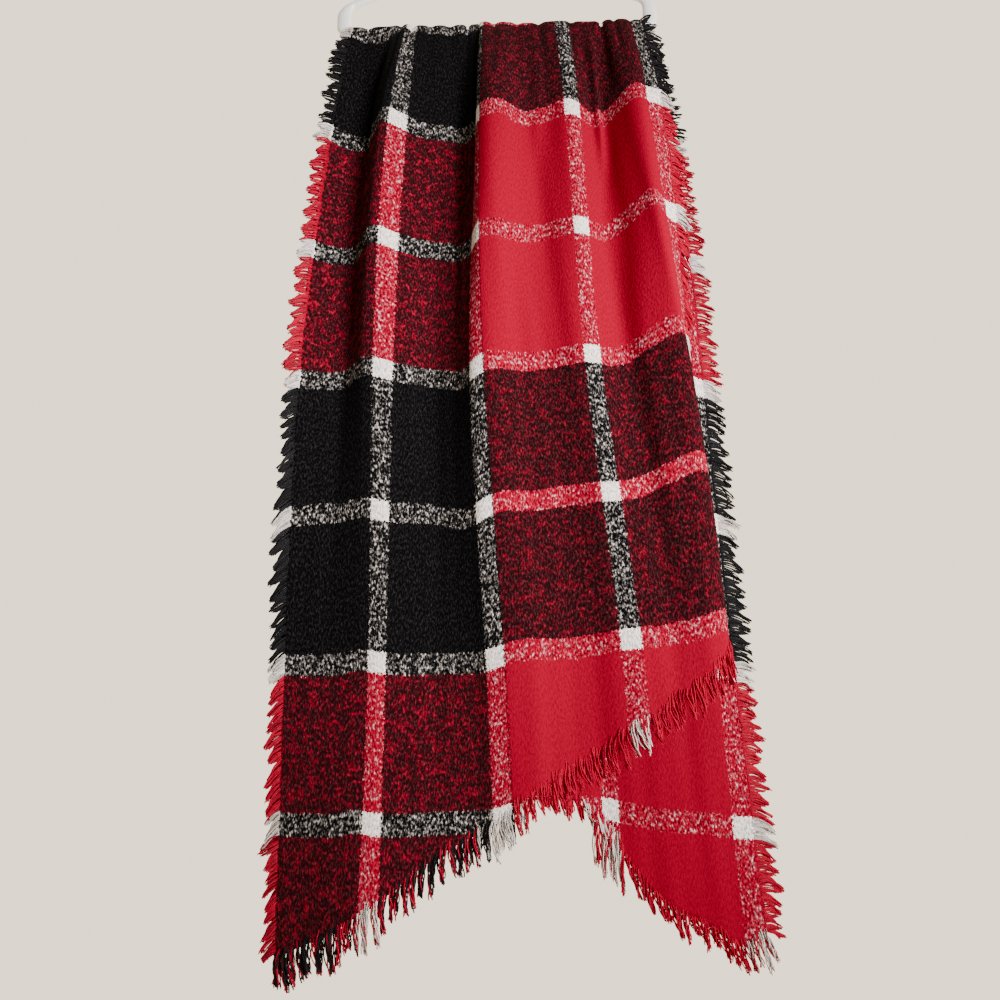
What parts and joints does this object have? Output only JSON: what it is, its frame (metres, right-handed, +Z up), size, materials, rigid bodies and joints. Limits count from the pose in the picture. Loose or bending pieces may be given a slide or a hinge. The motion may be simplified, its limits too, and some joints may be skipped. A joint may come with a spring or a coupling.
{
  "type": "tartan blanket scarf on a plastic tube hanger",
  "caption": "Fringed red, black and white tartan blanket scarf hung over the bar of a white plastic tube hanger, its ends slanting",
  "frame": {"origin": "inside top of the hanger's hook, on its centre plane, where a closet rail carries it", "axes": "+Z up along the fall of the cloth, +Y from the front fall to the back fall, +X to the right seen from the front"},
  "size_m": [0.5604, 0.0906, 1.385],
  "materials": {
    "woven_acrylic": "brushed twill, soft nap",
    "fringe_yarn": "loose ravelled yarn",
    "white_plastic": "moulded, smooth"
  },
  "bodies": {
    "root": {"cloth_front": "woven_acrylic", "cloth_back": "woven_acrylic", "fringe_front_hem": "fringe_yarn", "fringe_back_hem": "fringe_yarn", "fringe_front_left": "fringe_yarn", "fringe_front_right": "fringe_yarn", "fringe_back_left": "fringe_yarn", "fringe_back_right": "fringe_yarn", "hanger": "white_plastic"}
  },
  "joints": []
}
